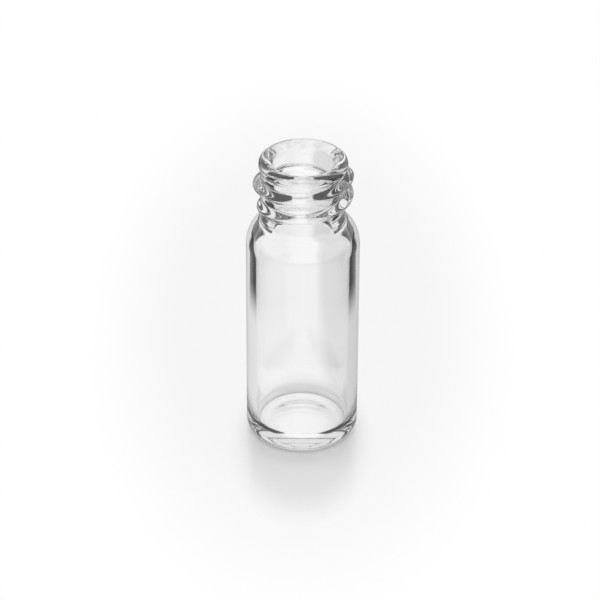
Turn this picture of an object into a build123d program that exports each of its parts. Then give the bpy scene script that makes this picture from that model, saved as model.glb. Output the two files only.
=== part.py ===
from build123d import *
import math
import os

# Glass sample vial, drawn from one piece of clear tube, in millimetres.
# The origin is the centre of the foot ring on the table, and +Z points out of the mouth.

# Overall
overall_height = 32.0
body_diameter = 11.6
body_wall = 1.0

# Base: a rounded heel, a flat foot ring and a shallow conical push-up inside it
heel_radius = 1.0
foot_ring_width = 1.1
push_up_depth = 0.35
floor_thickness = 0.85
floor_corner_bevel = 0.8

# Shoulder and neck, outside. The finish is measured down from the rim's top
shoulder_below_rim = 9.8
shoulder_radius = 3.5
neck_fillet_radius = 0.9
neck_diameter = 8.5

# Rim: a fire-polished bead with a bevelled mouth and a sloped underside
bore_diameter = 6.0
rim_diameter = 9.0
rim_round = 0.6
rim_height = 0.9
rim_underside_height = 0.4
mouth_bevel = 0.7

# Shoulder, inside: a round that runs into a cone, which ends at the bore
inner_shoulder_below_rim = 10.2
inner_shoulder_radius = 2.3
inner_shoulder_arc = 45.0

# Thread: a right-handed ridge with a narrow crest, which sinks into the neck at both ends
thread_diameter = 10.15
thread_pitch = 2.117
thread_base_width = 1.75
thread_crest_width = 0.5
thread_root_depth = 0.25
thread_sunk_crest = -0.1
thread_full_turns = 1.38
thread_run_in_turns = 0.26
thread_run_out_turns = 0.1
thread_start_below_rim = 4.8
thread_start_angle = -135.0

# Sizes worked out from the ones above
body_radius = body_diameter / 2
inner_radius = body_radius - body_wall
foot_outer_radius = body_radius - heel_radius
foot_inner_radius = foot_outer_radius - foot_ring_width
floor_height = push_up_depth + floor_thickness
neck_radius = neck_diameter / 2
bore_radius = bore_diameter / 2
rim_radius = rim_diameter / 2
rim_underside_top = overall_height - rim_height
thread_height = thread_diameter / 2 - neck_radius

# The shoulder and the fillet above it turn through one angle, so the wall ends upright at the neck
shoulder_arc = math.degrees(
    math.acos(1 - (body_radius - neck_radius) / (shoulder_radius + neck_fillet_radius))
)

# The wall: floor, body, shoulder, neck and rim as one revolved section
with BuildPart() as wall:
    with BuildSketch(Plane.XZ) as wall_section:
        with BuildLine():
            push_up = Line((0, push_up_depth), (foot_inner_radius, 0))
            foot = Line(push_up @ 1, (foot_outer_radius, 0))
            heel = JernArc(foot @ 1, (1, 0), heel_radius, 90)
            side = Line(heel @ 1, (body_radius, overall_height - shoulder_below_rim))
            shoulder = JernArc(side @ 1, (0, 1), shoulder_radius, shoulder_arc)
            neck_fillet = JernArc(shoulder @ 1, shoulder % 1, neck_fillet_radius, -shoulder_arc)
            neck = Line(neck_fillet @ 1, (neck_radius, rim_underside_top - rim_underside_height))
            rim_underside = Line(neck @ 1, (rim_radius, rim_underside_top))
            rim_side = Line(rim_underside @ 1, (rim_radius, overall_height - rim_round))
            rim_edge = JernArc(rim_side @ 1, (0, 1), rim_round, 90)
            land = Line(rim_edge @ 1, (bore_radius + mouth_bevel, overall_height))
            mouth = Line(land @ 1, (bore_radius, overall_height - mouth_bevel))
            inner_shoulder = JernArc(
                (inner_radius, overall_height - inner_shoulder_below_rim),
                (0, 1),
                inner_shoulder_radius,
                inner_shoulder_arc,
            )
            cone_width = (inner_shoulder @ 1).X - bore_radius
            cone_rise = cone_width / math.tan(math.radians(inner_shoulder_arc))
            bore = Line(mouth @ 1, (bore_radius, (inner_shoulder @ 1).Y + cone_rise))
            Line(bore @ 1, inner_shoulder @ 1)
            inner_side = Line(
                inner_shoulder @ 0, (inner_radius, floor_height + floor_corner_bevel)
            )
            floor_corner = Line(inner_side @ 1, (inner_radius - floor_corner_bevel, floor_height))
            floor = Line(floor_corner @ 1, (0, floor_height))
            Line(floor @ 1, push_up @ 0)
        make_face()
    revolve(axis=Axis.Z)


def thread_path(first_turn, turns):
    """A stretch of the thread's helix on the neck, from a turn counted from the full start."""
    start_height = overall_height - thread_start_below_rim + thread_pitch * first_turn
    start_angle = thread_start_angle + 360 * first_turn
    with BuildLine() as path:
        Helix(thread_pitch, thread_pitch * turns, neck_radius, center=(0, 0, start_height))
    return path.edges()[0].rotate(Axis.Z, start_angle)


def ridge_section(path, position, crest):
    """The ridge's section across its path, with its crest this far out from the neck."""
    place = path @ position
    across = Plane(place, x_dir=(place.X, place.Y, 0), z_dir=path % position)
    half_base = thread_base_width / 2
    half_crest = thread_crest_width / 2
    with BuildSketch(across) as section:
        with BuildLine():
            Polyline(
                (-thread_root_depth, half_base),
                (crest, half_crest),
                (crest, -half_crest),
                (-thread_root_depth, -half_base),
                close=True,
            )
        make_face()
    return section.sketch


# The thread: a full ridge between a run-in and a run-out that sink under the neck's surface
full_path = thread_path(0, thread_full_turns)
run_in_path = thread_path(-thread_run_in_turns, thread_run_in_turns)
run_out_path = thread_path(thread_full_turns, thread_run_out_turns)

with BuildPart() as thread:
    sweep(ridge_section(full_path, 0, thread_height), path=full_path, is_frenet=True)
    for path, first, last in (
        (run_in_path, thread_sunk_crest, thread_height),
        (run_out_path, thread_height, thread_sunk_crest),
    ):
        sweep(
            [ridge_section(path, 0, first), ridge_section(path, 1, last)],
            path=path,
            multisection=True,
            is_frenet=True,
        )

# The vial is the wall and its thread as one piece of glass
with BuildPart() as vial:
    add(wall.part)
    add(thread.part)

vial.part.label = "vial"
os.makedirs("parts", exist_ok=True)
export_step(vial.part, "parts/vial.step")
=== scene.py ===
"""A clear glass sample vial that stands on a pale glossy table in soft studio light.

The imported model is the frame. The vial's glass is a finer mesh of the same wall and thread, and
the table, the surroundings and the camera are the stage that it's seen on. All lengths are metres.
"""

import logging
import math
from dataclasses import dataclass, field
from enum import Enum

import bmesh
import bpy
from mathutils import Matrix, Vector


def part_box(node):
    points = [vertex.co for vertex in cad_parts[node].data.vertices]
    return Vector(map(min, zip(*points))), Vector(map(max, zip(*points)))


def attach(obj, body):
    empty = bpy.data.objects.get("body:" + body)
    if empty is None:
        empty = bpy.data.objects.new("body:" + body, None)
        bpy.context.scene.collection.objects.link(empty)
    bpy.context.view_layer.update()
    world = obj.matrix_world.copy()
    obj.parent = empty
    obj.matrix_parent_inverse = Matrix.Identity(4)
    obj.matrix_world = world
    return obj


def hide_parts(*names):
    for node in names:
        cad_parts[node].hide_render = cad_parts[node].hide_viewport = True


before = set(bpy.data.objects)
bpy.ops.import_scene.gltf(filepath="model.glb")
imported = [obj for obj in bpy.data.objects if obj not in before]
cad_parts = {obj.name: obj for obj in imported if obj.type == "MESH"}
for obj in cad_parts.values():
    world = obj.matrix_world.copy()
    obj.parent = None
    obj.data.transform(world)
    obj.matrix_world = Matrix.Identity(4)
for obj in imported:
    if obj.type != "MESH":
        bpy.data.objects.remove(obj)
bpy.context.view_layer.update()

MM = 0.001
WHITE = (1, 1, 1, 1)
LEAST_DIVISOR = 1e-6
LESS_THAN_ONCE = 0.5
log = logging.getLogger("vial")


class Pieces(Enum):
    """The names of the frame's node, slot and body, and of the pieces of this scene."""

    NODE = "vial"
    SLOT = "glass"
    BODY = "root"
    GLASS = "vial_glass"
    TABLE = "table"


@dataclass(frozen=True)
class Span:
    """The start and the end of a soft edge."""

    start: float
    end: float


@dataclass(frozen=True)
class Patch:
    """A round or oval patch on the table, whose soft edge is measured along Y from its centre."""

    edge: Span
    centre_y: float = 0.0
    narrowness: float = 1.0


@dataclass(frozen=True)
class Darkness:
    """The dark of the room, and the flags between the main and the diagonal directions: dim light
    in the world, and painted shade where the table glows.

    A flag's inner edge is towards X or Y and its outer edge towards the diagonal. Both are slopes
    away from the nearer of X and Y.
    """

    level: float = 0.03
    flag_inner: Span = Span(0.16, 0.26)
    flag_outer: Span = Span(0.60, 0.72)


class NodeTree:
    """A small hand for wiring shader nodes."""

    def __init__(self, tree: bpy.types.NodeTree) -> None:
        """Empties the tree.

        Args:
            tree: The node tree of a material or of the world.
        """
        self.tree = tree
        tree.nodes.clear()

    def add(self, kind: str, **values: object) -> bpy.types.Node:
        """Adds a node.

        Args:
            kind: The node's type name.
            **values: Its properties.

        Returns:
            The new node.
        """
        node = self.tree.nodes.new(kind)
        for name, value in values.items():
            setattr(node, name, value)
        return node

    def put(self, value: object, socket: bpy.types.NodeSocket) -> None:
        """Gives an input socket its value.

        Args:
            value: An output socket, which is linked, or else a constant.
            socket: The input socket.
        """
        if isinstance(value, bpy.types.NodeSocket):
            self.tree.links.new(value, socket)
        else:
            socket.default_value = value

    def math(self, operation: str, *values: object) -> bpy.types.NodeSocket:
        """Adds a Math node.

        Args:
            operation: The node's operation.
            *values: Its inputs, as numbers or sockets.

        Returns:
            The result's socket.
        """
        node = self.add("ShaderNodeMath", operation=operation)
        for value, socket in zip(values, node.inputs):
            self.put(value, socket)
        return node.outputs[0]

    def ramp(self, value: object, edge: Span) -> bpy.types.NodeSocket:
        """Makes a smooth step.

        Args:
            value: The number or socket that the step is taken over.
            edge: Where the step starts and ends.

        Returns:
            The socket of 0 before the edge and 1 past it.
        """
        node = self.add("ShaderNodeMapRange", interpolation_type="SMOOTHSTEP")
        self.put(value, node.inputs["Value"])
        self.put(edge.start, node.inputs["From Min"])
        self.put(edge.end, node.inputs["From Max"])
        return node.outputs["Result"]

    def blend(self, share: object, first: object, second: object) -> bpy.types.NodeSocket:
        """Blends two numbers.

        Args:
            share: How much of the second, from 0 to 1.
            first: The number at 0.
            second: The number at 1.

        Returns:
            The blended number's socket.
        """
        node = self.add("ShaderNodeMix", data_type="FLOAT")
        for value, socket in zip((share, first, second), (0, 2, 3)):
            self.put(value, node.inputs[socket])
        return node.outputs[0]

    def mix(self, share: object, first: object, second: object) -> bpy.types.NodeSocket:
        """Mixes two shaders.

        Args:
            share: How much of the second, from 0 to 1.
            first: The shader at 0.
            second: The shader at 1.

        Returns:
            The mixed shader's socket.
        """
        node = self.add("ShaderNodeMixShader")
        for value, socket in zip((share, first, second), node.inputs):
            self.put(value, socket)
        return node.outputs[0]

    def glow(self, strength: object) -> bpy.types.NodeSocket:
        """Makes a white emission.

        Args:
            strength: How bright it is, as a number or socket.

        Returns:
            The emission's socket.
        """
        node = self.add("ShaderNodeEmission")
        self.put(strength, node.inputs["Strength"])
        return node.outputs[0]

    def axis(self, place: bpy.types.NodeSocket, name: str) -> bpy.types.NodeSocket:
        """Takes one part of a point or direction.

        Args:
            place: The point or direction.
            name: X, Y or Z.

        Returns:
            The socket of its part along that axis.
        """
        apart = self.add("ShaderNodeSeparateXYZ")
        self.put(place, apart.inputs[0])
        return apart.outputs[name]

    def off_patch(self, place: bpy.types.NodeSocket, patch: Patch) -> bpy.types.NodeSocket:
        """Tells a patch of the table from what is round it.

        Args:
            place: The point of the table.
            patch: The patch.

        Returns:
            The socket of 0 on the patch and 1 past its soft edge.
        """
        moved = self.add("ShaderNodeVectorMath", operation="SUBTRACT")
        self.put(place, moved.inputs[0])
        moved.inputs[1].default_value = (0, patch.centre_y, 0)
        squeezed = self.add("ShaderNodeVectorMath", operation="MULTIPLY")
        self.put(moved.outputs[0], squeezed.inputs[0])
        squeezed.inputs[1].default_value = (patch.narrowness, 1, 1)
        reach = self.add("ShaderNodeVectorMath", operation="LENGTH")
        self.put(squeezed.outputs[0], reach.inputs[0])
        return self.ramp(reach.outputs["Value"], patch.edge)

    def off_arms(self, place: bpy.types.NodeSocket, slant: Span) -> bpy.types.NodeSocket:
        """Tells the four arms along X and Y from what is between them, round the vertical axis.

        Args:
            place: The point or direction to look up.
            slant: The arms' soft edge, as a slope away from X or Y.

        Returns:
            The socket of 0 on the arms and 1 between them.
        """
        x, y = (self.math("ABSOLUTE", self.axis(place, name)) for name in ("X", "Y"))
        along = self.math("MAXIMUM", self.math("MAXIMUM", x, y), LEAST_DIVISOR)
        return self.ramp(self.math("DIVIDE", self.math("MINIMUM", x, y), along), slant)

    def off_lane(self, place: bpy.types.NodeSocket, slant: Span) -> bpy.types.NodeSocket:
        """Returns 0 along Y and 1 to both sides of it, like off_arms for a single pair of arms."""
        x, y = (self.math("ABSOLUTE", self.axis(place, name)) for name in ("X", "Y"))
        return self.ramp(self.math("DIVIDE", x, self.math("MAXIMUM", y, LEAST_DIVISOR)), slant)

    def on_flags(self, place: bpy.types.NodeSocket, dark: Darkness) -> bpy.types.NodeSocket:
        """Returns 1 on the dark flags between the main and the diagonal directions."""
        within = self.rest(self.off_arms(place, dark.flag_outer))
        return self.both(self.off_arms(place, dark.flag_inner), within)

    def both(self, *values: object) -> bpy.types.NodeSocket:
        """Multiplies values between 0 and 1.

        Args:
            *values: Two or more numbers or sockets.

        Returns:
            The product's socket.
        """
        product = values[0]
        for value in values[1:]:
            product = self.math("MULTIPLY", product, value)
        return product

    def rest(self, value: object) -> bpy.types.NodeSocket:
        """Returns 1 less the value."""
        return self.math("SUBTRACT", 1.0, value)

    def passed(self) -> bpy.types.NodeSocket:
        """Returns 1 for light that has passed through glass."""
        depth = self.add("ShaderNodeLightPath").outputs["Transmission Depth"]
        return self.math("GREATER_THAN", depth, LESS_THAN_ONCE)

    def mirrored(self) -> bpy.types.NodeSocket:
        """Returns 1 for light that was mirrored on its way, on the glass or inside it."""
        depth = self.add("ShaderNodeLightPath").outputs["Glossy Depth"]
        return self.math("GREATER_THAN", depth, LESS_THAN_ONCE)

    def mirrored_inside(self) -> bpy.types.NodeSocket:
        """Returns 1 for light that has passed through glass and was mirrored on its way."""
        return self.both(self.mirrored(), self.passed())

    def mirrored_outside(self) -> bpy.types.NodeSocket:
        """Returns 1 for light that was mirrored and hasn't passed through glass."""
        return self.both(self.mirrored(), self.rest(self.passed()))


@dataclass(frozen=True)
class ClearGlass:
    """Clear drawn glass with the faint waves of drawn tube, and a finely grained rim."""

    name: str = "clear_glass"
    ior: float = 1.5
    wave_scale: float = 260.0
    wave_detail: float = 1.0
    wave_height: float = 0.02 * MM
    wave_strength: float = 0.15
    rim: Span = Span(31.2 * MM, 31.6 * MM)
    grain_scale: float = 1800.0
    grain_height: float = 0.012 * MM
    grain_edge: Span = Span(0.42, 0.62)
    rim_clearness: tuple[float, float] = (0.70, 0.88)

    def make(self) -> bpy.types.Material:
        """Makes the material.

        Returns:
            The glass, with its waves and its grained rim.
        """
        material = bpy.data.materials.new(self.name)
        material.use_nodes = True
        nodes = NodeTree(material.node_tree)
        place = nodes.add("ShaderNodeTexCoord").outputs["Object"]
        on_rim = nodes.ramp(nodes.axis(place, "Z"), self.rim)
        grain = nodes.add("ShaderNodeTexNoise")
        grain.inputs["Scale"].default_value = self.grain_scale
        nodes.put(place, grain.inputs["Vector"])
        rough = nodes.add("ShaderNodeBump")
        rough.inputs["Distance"].default_value = self.grain_height
        nodes.put(on_rim, rough.inputs["Strength"])
        nodes.put(grain.outputs["Fac"], rough.inputs["Height"])
        nodes.put(self.waves(nodes, place), rough.inputs["Normal"])
        glass = nodes.add("ShaderNodeBsdfPrincipled")
        glass.inputs["Roughness"].default_value = 0
        glass.inputs["IOR"].default_value = self.ior
        glass.inputs["Transmission Weight"].default_value = 1
        nodes.put(self.tint(nodes, on_rim, grain.outputs["Fac"]), glass.inputs["Base Color"])
        nodes.put(rough.outputs["Normal"], glass.inputs["Normal"])
        out = nodes.add("ShaderNodeOutputMaterial")
        nodes.put(glass.outputs[0], out.inputs["Surface"])
        return material

    def waves(self, nodes: NodeTree, place: bpy.types.NodeSocket) -> bpy.types.NodeSocket:
        """Makes the faint waves of drawn tube.

        Args:
            nodes: The material's nodes.
            place: The point on the vial.

        Returns:
            The socket of the waved normal.
        """
        waves = nodes.add("ShaderNodeTexNoise")
        waves.inputs["Scale"].default_value = self.wave_scale
        waves.inputs["Detail"].default_value = self.wave_detail
        nodes.put(place, waves.inputs["Vector"])
        bump = nodes.add("ShaderNodeBump")
        bump.inputs["Strength"].default_value = self.wave_strength
        bump.inputs["Distance"].default_value = self.wave_height
        nodes.put(waves.outputs["Fac"], bump.inputs["Height"])
        return bump.outputs["Normal"]

    def tint(
        self, nodes: NodeTree, on_rim: bpy.types.NodeSocket, grain: bpy.types.NodeSocket
    ) -> bpy.types.NodeSocket:
        """Makes the glass's colour: clear, and a grainy grey on the rim.

        Args:
            nodes: The material's nodes.
            on_rim: 1 on the rim and 0 below it.
            grain: The rim's grain.

        Returns:
            The colour's socket.
        """
        clearness = nodes.blend(nodes.ramp(grain, self.grain_edge), *self.rim_clearness)
        level = nodes.blend(on_rim, 1.0, clearness)
        tint = nodes.add("ShaderNodeCombineColor")
        for name in ("Red", "Green", "Blue"):
            nodes.put(level, tint.inputs[name])
        return tint.outputs[0]


class Outline:
    """A wire in the XZ plane that grows from its tip by straight runs and arcs tangent to it."""

    fewest_arc_steps = 3

    def __init__(self, x: float, z: float, heading: float) -> None:
        """Starts the wire.

        Args:
            x: The first point's distance from the axis.
            z: The first point's height.
            heading: The way the wire sets out, in degrees from +X towards +Z.
        """
        self.mesh = bmesh.new()
        self.tip = self.mesh.verts.new((x, 0, z))
        self.heading = math.radians(heading)

    def ahead(self) -> Vector:
        """Returns the direction at the tip."""
        return Vector((math.cos(self.heading), 0, math.sin(self.heading)))

    def run(self, length: float, step: float) -> None:
        """Adds a straight run.

        Args:
            length: The run's length.
            step: About how far apart its points are.
        """
        steps = max(1, round(length / step))
        for _ in range(steps):
            grown = bmesh.ops.extrude_vert_indiv(self.mesh, verts=[self.tip])
            self.tip = grown["verts"][0]
            bmesh.ops.translate(self.mesh, verts=[self.tip], vec=self.ahead() * (length / steps))

    def run_to_height(self, z: float, step: float) -> None:
        """Adds an upright run as far as this height."""
        self.run(abs(z - self.tip.co.z), step)

    def run_to_radius(self, x: float, step: float) -> None:
        """Adds a level run as far as this distance from the axis."""
        self.run(abs(x - self.tip.co.x), step)

    def arc(self, radius: float, turn: float, step: float) -> None:
        """Adds an arc that is tangent to the wire.

        Args:
            radius: The arc's radius.
            turn: The angle it turns through in degrees, above 0 to the left.
            step: About how far apart its points are.
        """
        angle = math.radians(turn)
        left = Vector((-math.sin(self.heading), 0, math.cos(self.heading)))
        spun = bmesh.ops.spin(
            self.mesh,
            geom=[self.tip],
            cent=self.tip.co + left * math.copysign(radius, angle),
            axis=(0, -1, 0),
            angle=angle,
            steps=max(self.fewest_arc_steps, round(radius * abs(angle) / step)),
        )
        self.tip = next(v for v in spun["geom_last"] if isinstance(v, bmesh.types.BMVert))
        self.heading += angle


@dataclass
class NeckThread:
    """The right-handed rounded ridge on the neck, which sinks into it at both ends."""

    crest_radius: float
    neck_radius: float
    pitch: float = 2.117 * MM
    half_width: float = 1.0 * MM
    root_depth: float = 0.25 * MM
    full_turns: float = 1.38
    run_in_turns: float = 0.26
    run_out_turns: float = 0.10
    full_start_height: float = 27.2 * MM
    full_start_angle: float = -135.0
    corner_width: float = 0.12 * MM

    def height_share(self, turns: float) -> float:
        """Eases the ridge in and out at its two ends.

        Args:
            turns: How many turns past the full ridge's start.

        Returns:
            How much of the ridge's height stands there, from 0 to 1.
        """
        if turns < 0:
            share = 1 + turns / self.run_in_turns
        else:
            share = 1 - (turns - self.full_turns) / self.run_out_turns
        share = min(1.0, max(0.0, share))
        return share * share * (3 - 2 * share)

    def radius_at(self, angle: float, z: float) -> float:
        """Works out the ridge's distance from the axis.

        Args:
            angle: The angle round the axis in degrees, from +X towards +Y.
            z: The height.

        Returns:
            The radius of the ridge's surface, below the neck's where there is no ridge.
        """
        root = self.neck_radius - self.root_depth
        radius = root
        last_lap = math.ceil(self.full_turns + self.run_out_turns)
        for lap in range(-1, last_lap + 1):
            turns = (angle - self.full_start_angle) / 360 + lap
            off = z - self.full_start_height - self.pitch * turns
            if abs(off) < self.half_width:
                swell = math.cos(off / self.half_width * math.pi / 2) ** 2
                rise = (self.crest_radius - root) * swell * self.height_share(turns)
                radius = max(radius, root + rise)
        return radius

    def raise_on(
        self, mesh: bmesh.types.BMesh, lowest: float, highest: float, inside: float
    ) -> None:
        """Moves the wall's outer points out onto the ridge, with a small hollow at its foot.

        Args:
            mesh: The vial's mesh.
            lowest: The height that the ridge starts above.
            highest: The height that the ridge ends below.
            inside: A radius between the neck's bore and its outside.
        """
        for vert in mesh.verts:
            radius = vert.co.xy.length
            if not (lowest < vert.co.z < highest and radius > inside):
                continue
            angle = math.degrees(math.atan2(vert.co.y, vert.co.x))
            gap = self.radius_at(angle, vert.co.z) - radius
            out = (gap + math.hypot(gap, self.corner_width)) / 2
            vert.co.xy *= 1 + out / radius


@dataclass
class SampleVial:
    """The vial, drawn from one piece of clear tube: floor, body, shoulder, neck, thread and rim."""

    height: float
    body_radius: float
    wall: float = 1.0 * MM
    heel_radius: float = 1.0 * MM
    foot_ring_width: float = 1.1 * MM
    push_up_depth: float = 0.35 * MM
    floor_thickness: float = 0.85 * MM
    floor_corner_radius: float = 1.1 * MM
    shoulder_start: float = 22.2 * MM
    shoulder_radius: float = 3.5 * MM
    neck_fillet_radius: float = 0.9 * MM
    neck_radius: float = 4.25 * MM
    bore_radius: float = 3.0 * MM
    rim_radius: float = 4.5 * MM
    rim_height: float = 1.3 * MM
    rim_outer_round: float = 0.6 * MM
    rim_inner_round: float = 0.9 * MM
    rim_under_radius: float = 0.4 * MM
    inner_shoulder_start: float = 21.8 * MM
    inner_shoulder_radius: float = 2.3 * MM
    bore_flare_radius: float = 1.0 * MM
    thread_crest_radius: float = 5.075 * MM
    steps_round: int = 288
    fine: float = 0.09 * MM
    coarse: float = 0.6 * MM
    merge_gap: float = 0.0005 * MM
    finish: ClearGlass = field(default_factory=ClearGlass)

    def turn_between(self, outer: float, inner: float, radii: float) -> float:
        """Returns the angle in degrees that two opposite arcs turn through between two radii."""
        return math.degrees(math.acos(1 - (outer - inner) / radii))

    def draw_outside(self, wire: Outline) -> None:
        """Draws the section from the push-up's centre to the rim's top land.

        Args:
            wire: The section's wire, at the push-up's centre.
        """
        ring_outer = self.body_radius - self.heel_radius
        ring_inner = ring_outer - self.foot_ring_width
        push_up = (ring_inner**2 + self.push_up_depth**2) / (2 * self.push_up_depth)
        slope = math.degrees(math.asin(ring_inner / push_up))
        wire.arc(push_up, -slope, self.coarse / 2)
        wire.heading = 0
        wire.run_to_radius(ring_outer, self.coarse / 2)
        wire.arc(self.heel_radius, 90, self.fine)
        wire.run_to_height(self.shoulder_start, self.coarse)
        turn = self.turn_between(
            self.body_radius, self.neck_radius, self.shoulder_radius + self.neck_fillet_radius
        )
        wire.arc(self.shoulder_radius, turn, self.fine)
        wire.arc(self.neck_fillet_radius, -turn, self.fine)
        wire.run_to_height(self.height - self.rim_height, self.fine / 2)
        turn = self.turn_between(self.rim_radius, self.neck_radius, 2 * self.rim_under_radius)
        wire.arc(self.rim_under_radius, -turn, self.fine / 2)
        wire.arc(self.rim_under_radius, turn, self.fine / 2)
        wire.run_to_height(self.height - self.rim_outer_round, self.fine)
        wire.arc(self.rim_outer_round, 90, self.fine)

    def draw_inside(self, wire: Outline) -> None:
        """Draws the section from the rim's top land to the floor's centre.

        Args:
            wire: The section's wire, at the rim's top land.
        """
        wire.run_to_radius(self.bore_radius + self.rim_inner_round, self.fine)
        wire.arc(self.rim_inner_round, 90, self.fine)
        radii = self.inner_shoulder_radius + self.bore_flare_radius
        turn = self.turn_between(self.body_radius - self.wall, self.bore_radius, radii)
        rise = radii * math.sin(math.radians(turn))
        wire.run_to_height(self.inner_shoulder_start + rise, self.coarse / 2)
        wire.arc(self.bore_flare_radius, turn, self.fine)
        wire.arc(self.inner_shoulder_radius, -turn, self.fine)
        floor = self.push_up_depth + self.floor_thickness
        wire.run_to_height(floor + self.floor_corner_radius, self.coarse)
        wire.arc(self.floor_corner_radius, -90, self.fine)
        wire.run_to_radius(0, self.coarse / 2)

    def build(self) -> bpy.types.Object:
        """Builds the vial's mesh and dresses it.

        Returns:
            The vial, as one closed piece that stands for the frame's node.
        """
        wire = Outline(0, self.push_up_depth, 0)
        self.draw_outside(wire)
        self.draw_inside(wire)
        mesh = wire.mesh
        bmesh.ops.spin(
            mesh,
            geom=mesh.verts[:] + mesh.edges[:],
            cent=(0, 0, 0),
            axis=(0, 0, 1),
            angle=math.tau,
            steps=self.steps_round,
            use_merge=True,
        )
        bmesh.ops.remove_doubles(mesh, verts=mesh.verts, dist=self.merge_gap)
        thread = NeckThread(self.thread_crest_radius, self.neck_radius)
        thread.raise_on(
            mesh,
            lowest=self.shoulder_start + self.shoulder_radius / 2,
            highest=self.height - self.rim_outer_round,
            inside=(self.neck_radius + self.bore_radius) / 2,
        )
        bmesh.ops.recalc_face_normals(mesh, faces=mesh.faces)
        return self.dress(mesh)

    def dress(self, mesh: bmesh.types.BMesh) -> bpy.types.Object:
        """Makes the piece from its mesh, with its finish and its place in the frame.

        Args:
            mesh: The vial's mesh, which is freed.

        Returns:
            The finished piece.
        """
        for face in mesh.faces:
            face.smooth = True
        data = bpy.data.meshes.new(Pieces.GLASS.value)
        mesh.to_mesh(data)
        mesh.free()
        data.materials.append(self.finish.make())
        piece = bpy.data.objects.new(Pieces.GLASS.value, data)
        bpy.context.scene.collection.objects.link(piece)
        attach(piece, Pieces.BODY.value)
        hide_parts(Pieces.NODE.value)
        return piece


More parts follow.
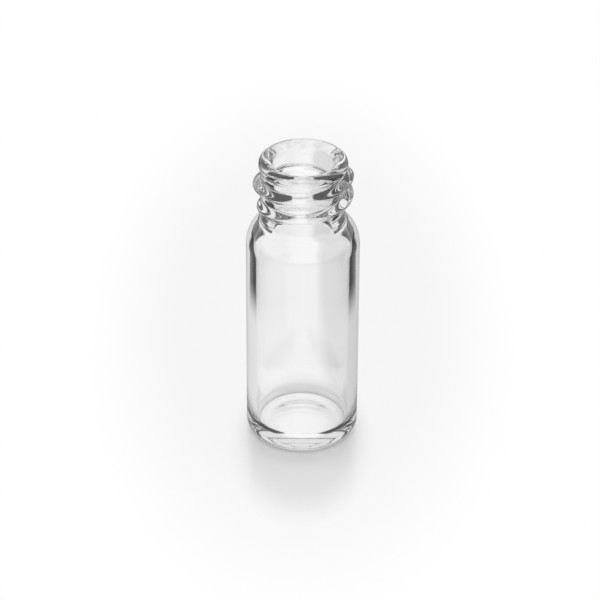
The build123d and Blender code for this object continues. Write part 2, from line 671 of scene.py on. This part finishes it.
@dataclass
class Table:
    """The pale glossy table, which is lit where the vial's soft shadow falls and glows elsewhere.

    How bright it glows depends on the way that the light took to it: openly, through the glass,
    mirrored on it or mirrored inside it. The glow is painted light and painted shade: grey, dark
    and white patches that the glass shows as its bands, streaks and bright windows.
    """

    radius: float = 0.6
    steps_round: int = 96
    gap: float = 0.01 * MM

    # The lit patch round the foot, without the disc that the vial stands on, which glows as painted
    # light
    colour: tuple[float, float, float, float] = (0.87, 0.86, 0.86, 1.0)
    roughness: float = 0.16
    ior: float = 1.5
    shadow: Patch = Patch(Span(8 * MM, 15.5 * MM), centre_y=-4 * MM, narrowness=1.9)
    painted_light_disc: Patch = Patch(Span(5.0 * MM, 5.4 * MM))

    # Painted shade, openly and through the glass: the glow is a little greyer behind the vial and
    # on its right
    shade_behind: Patch = Patch(Span(30 * MM, 60 * MM), centre_y=22 * MM, narrowness=2.4)
    shade_behind_level: float = 0.92
    # Painted shade on the vial's right, seen only through the glass
    right_shade: Span = Span(2.0 * MM, 5.0 * MM)
    right_shade_level: float = 0.83

    # Through the glass: painted dark flags past the horizon, where the table glows almost black
    horizon: Patch = Patch(Span(60 * MM, 80 * MM))
    dark: Darkness = Darkness()

    # Mirrored on the glass: painted shade, the table glows dimmer in the glass's reflections
    dim_reflection_level: float = 0.40

    # Mirrored inside the glass: painted shade, a dark room past this patch, but for a painted white
    # lane along Y
    room: Patch = Patch(Span(24 * MM, 33 * MM))
    lane: Span = Span(0.58, 0.82)
    lane_level: float = 0.80

    # Mirrored inside the glass near the foot: painted light in the middle and painted shade at the
    # heel's sides
    foot: Patch = Patch(Span(6 * MM, 9 * MM))
    foot_level: float = 0.95
    window: Span = Span(2.0 * MM, 2.8 * MM)
    heel_shade_level: float = 0.05

    def open_level(self, nodes: NodeTree, place: bpy.types.NodeSocket) -> bpy.types.NodeSocket:
        """Works out the glow that is seen openly, through the glass or mirrored on it, with its
        painted shade.

        Args:
            nodes: The material's nodes.
            place: The point on the table.

        Returns:
            The glow's socket.
        """
        # Painted shade: the glow is greyer behind the vial
        level = nodes.blend(nodes.off_patch(place, self.shade_behind), self.shade_behind_level, 1.0)
        # Painted shade: past the horizon the table glows almost black on the flags, for light
        # through the glass
        flags = nodes.on_flags(place, self.dark)
        far = nodes.both(nodes.off_patch(place, self.horizon), flags, nodes.passed())
        level = nodes.blend(far, level, self.dark.level)
        # Painted shade: the table glows dimmer where the glass mirrors it
        return nodes.blend(nodes.mirrored_outside(), level, self.dim_reflection_level)

    def inner_level(self, nodes: NodeTree, place: bpy.types.NodeSocket) -> bpy.types.NodeSocket:
        """Works out the glow that light mirrored inside the glass meets, with its painted light and
        shade.

        Args:
            nodes: The material's nodes.
            place: The point on the table.

        Returns:
            The glow's socket.
        """
        sideways = nodes.math("ABSOLUTE", nodes.axis(place, "X"))
        # Painted light in the middle under the foot, and painted shade at the heel's sides
        foot = nodes.blend(nodes.ramp(sideways, self.window), self.foot_level, self.heel_shade_level)
        level = nodes.blend(nodes.off_patch(place, self.foot), foot, self.lane_level)
        # Painted shade past the room's patch, and painted light on the lane, for light mirrored
        # inside the glass
        dark = nodes.both(nodes.off_patch(place, self.room), nodes.off_lane(place, self.lane))
        return nodes.blend(dark, level, self.dark.level)

    def glow_level(self, nodes: NodeTree, place: bpy.types.NodeSocket) -> bpy.types.NodeSocket:
        """Works out how bright the table glows, with its painted light and shade.

        Args:
            nodes: The material's nodes.
            place: The point on the table.

        Returns:
            The glow's socket.
        """
        level = nodes.blend(
            nodes.mirrored_inside(), self.open_level(nodes, place), self.inner_level(nodes, place)
        )
        # Painted shade: through the glass, the glow is darker on the vial's right
        in_right_shade = nodes.both(nodes.ramp(nodes.axis(place, "X"), self.right_shade), nodes.passed())
        return nodes.both(level, nodes.blend(in_right_shade, 1.0, self.right_shade_level))

    def glowing(self, nodes: NodeTree, place: bpy.types.NodeSocket) -> bpy.types.NodeSocket:
        """Tells the glowing parts from the lit patch.

        Args:
            nodes: The material's nodes.
            place: The point on the table.

        Returns:
            The socket of 1 where the table glows, and 0 where it's lit.
        """
        # Painted light: the disc under the foot glows white in place of the vial's shadow there
        on_painted_light_disc = nodes.rest(nodes.off_patch(place, self.painted_light_disc))
        share = nodes.math("MAXIMUM", on_painted_light_disc, nodes.off_patch(place, self.shadow))
        return nodes.math("MAXIMUM", share, nodes.mirrored_inside())

    def material(self) -> bpy.types.Material:
        """Makes the table's material.

        Returns:
            The material, lit on one patch and glowing on the rest.
        """
        material = bpy.data.materials.new("pale_table")
        material.use_nodes = True
        nodes = NodeTree(material.node_tree)
        place = nodes.add("ShaderNodeTexCoord").outputs["Object"]
        lit = nodes.add("ShaderNodeBsdfPrincipled")
        lit.inputs["Base Color"].default_value = self.colour
        lit.inputs["Roughness"].default_value = self.roughness
        lit.inputs["IOR"].default_value = self.ior
        glow = nodes.glow(self.glow_level(nodes, place))
        out = nodes.add("ShaderNodeOutputMaterial")
        surface = nodes.mix(self.glowing(nodes, place), lit.outputs[0], glow)
        nodes.put(surface, out.inputs["Surface"])
        return material

    def build(self) -> bpy.types.Object:
        """Builds the table's top as a disc.

        Returns:
            The table, as a part of the stage.
        """
        mesh = bmesh.new()
        bmesh.ops.create_circle(
            mesh,
            cap_ends=True,
            segments=self.steps_round,
            radius=self.radius,
            matrix=Matrix.Translation((0, 0, -self.gap)),
        )
        data = bpy.data.meshes.new(Pieces.TABLE.value)
        mesh.to_mesh(data)
        mesh.free()
        data.materials.append(self.material())
        piece = bpy.data.objects.new(Pieces.TABLE.value, data)
        bpy.context.scene.collection.objects.link(piece)
        return piece


@dataclass
class Studio:
    """The surroundings: white all round, but for what the glass shows of them.

    Outer reflections meet a bright tent. Light mirrored inside the glass meets a dark room, which
    is bright overhead and along four arms. Light through the glass meets dark flags low down.
    """

    ambient: float = 1.0
    tent_level: float = 1.6
    bright_level: float = 0.75
    overhead: Span = Span(0.75, 0.95)
    low: Span = Span(0.30, 0.38)
    arms: Span = Span(0.5, 0.75)
    dark: Darkness = Darkness()

    def build(self) -> None:
        """Dresses the world."""
        world = bpy.data.worlds.new("studio")
        bpy.context.scene.world = world
        world.use_nodes = True
        nodes = NodeTree(world.node_tree)
        way = nodes.add("ShaderNodeTexCoord").outputs["Generated"]
        height = nodes.axis(way, "Z")
        above = nodes.ramp(height, self.low)
        on_arms = nodes.both(above, nodes.rest(nodes.off_arms(way, self.arms)))
        bright = nodes.math("MAXIMUM", nodes.ramp(height, self.overhead), on_arms)
        room = nodes.blend(bright, self.dark.level, self.bright_level)
        low = nodes.both(nodes.rest(above), nodes.on_flags(way, self.dark), nodes.passed())
        level = nodes.blend(low, self.ambient, self.dark.level)
        level = nodes.blend(nodes.mirrored_outside(), level, self.tent_level)
        level = nodes.blend(nodes.mirrored_inside(), level, room)
        light = nodes.add("ShaderNodeBackground")
        light.inputs["Color"].default_value = WHITE
        nodes.put(level, light.inputs["Strength"])
        out = nodes.add("ShaderNodeOutputWorld")
        nodes.put(light.outputs[0], out.inputs["Surface"])


@dataclass
class PhotoCamera:
    """The camera at the photograph's place: a long lens that looks down on the vial."""

    aim_height: float = 16 * MM
    distance: float = 300 * MM
    elevation: float = 32.0
    pixels_per_metre: float = 9720.0
    picture_side: float = 600.0
    aim_pixel: tuple[float, float] = (303.0, 293.7)
    roll: float = 0.31
    sensor: float = 36.0
    nearest: float = 1 * MM
    farthest: float = 10.0

    def build(self) -> bpy.types.Object:
        """Places the camera so that the aim falls on its pixel of the picture.

        Returns:
            The scene's camera.
        """
        focal = self.pixels_per_metre * self.distance
        centre = self.picture_side / 2
        pan = (self.aim_pixel[0] - centre) / focal
        slope = math.radians(self.elevation)
        tilt = slope + (centre - self.aim_pixel[1]) / focal
        back = self.distance * math.cos(slope)
        up = self.aim_height + self.distance * math.sin(slope)
        data = bpy.data.cameras.new("photo_camera")
        data.sensor_width = self.sensor
        data.lens = self.sensor * focal / self.picture_side
        data.clip_start = self.nearest
        data.clip_end = self.farthest
        camera = bpy.data.objects.new("photo_camera", data)
        camera.matrix_world = (
            Matrix.Translation((0, -back, up))
            @ Matrix.Rotation(pan, 4, "Z")
            @ Matrix.Rotation(math.pi / 2 - tilt, 4, "X")
            @ Matrix.Rotation(math.radians(self.roll), 4, "Z")
        )
        bpy.context.scene.collection.objects.link(camera)
        bpy.context.scene.camera = camera
        return camera


@dataclass
class LightPaths:
    """How often light may be turned in the glass before it's given up."""

    bounces: int = 24

    def apply(self) -> None:
        """Sets the scene's light paths and its plain view transform."""
        scene = bpy.context.scene
        scene.cycles.max_bounces = self.bounces
        scene.cycles.glossy_bounces = self.bounces
        scene.cycles.transmission_bounces = self.bounces
        scene.view_settings.view_transform = "Standard"


def main() -> None:
    """Builds the vial, its stage and the camera, and reports each piece."""
    logging.basicConfig(level=logging.INFO, format="%(name)s: %(message)s")
    low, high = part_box(Pieces.NODE.value)
    vial = SampleVial(height=high.z - low.z, body_radius=(high.x - low.x) / 2).build()
    log.info("%s: %d faces", vial.name, len(vial.data.polygons))
    table = Table().build()
    log.info("%s: stage", table.name)
    Studio().build()
    camera = PhotoCamera().build()
    log.info("%s: lens %.1f mm", camera.name, camera.data.lens)
    LightPaths().apply()


if __name__ == "__main__":
    main()
